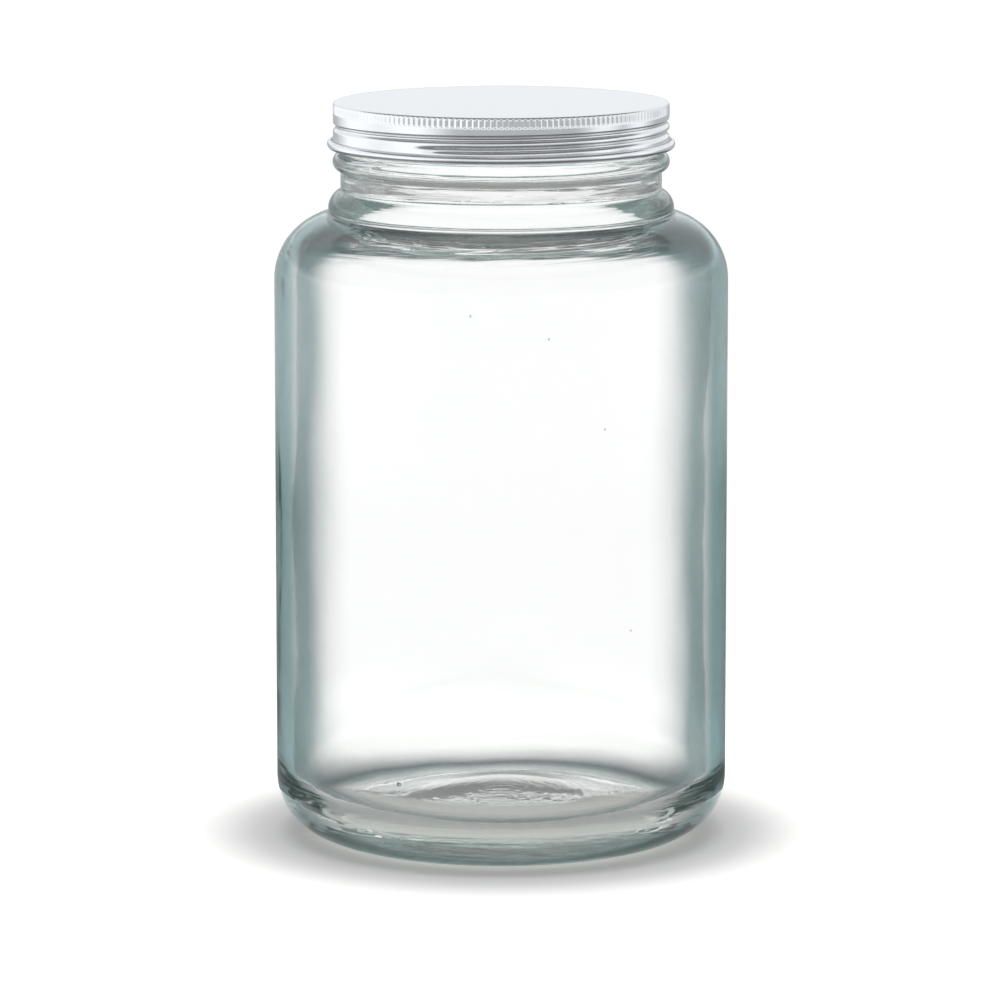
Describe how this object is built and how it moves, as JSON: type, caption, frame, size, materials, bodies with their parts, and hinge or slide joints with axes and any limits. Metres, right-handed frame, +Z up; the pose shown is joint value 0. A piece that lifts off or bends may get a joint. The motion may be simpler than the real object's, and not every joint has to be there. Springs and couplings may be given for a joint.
{
  "type": "glass storage jar",
  "caption": "Clear round glass storage jar with a soft shoulder and heel, a short wide neck and a satin aluminium screw lid. It is empty.",
  "frame": {"origin": "middle of the base plane that the jar stands on", "axes": "+Z up along the jar's axis of symmetry, towards the lid; -Y towards the viewer"},
  "size_m": [0.1546, 0.1546, 0.2522],
  "materials": {
    "clear_glass": "clear and polished, with a faint green edge",
    "lid_metal": "satin, with a knurled band and a rolled thread",
    "liner": "plain matt off-white"
  },
  "bodies": {
    "root": {"glass_jar": "clear_glass", "screw_lid": "lid_metal", "lid_liner": "liner"}
  },
  "joints": []
}
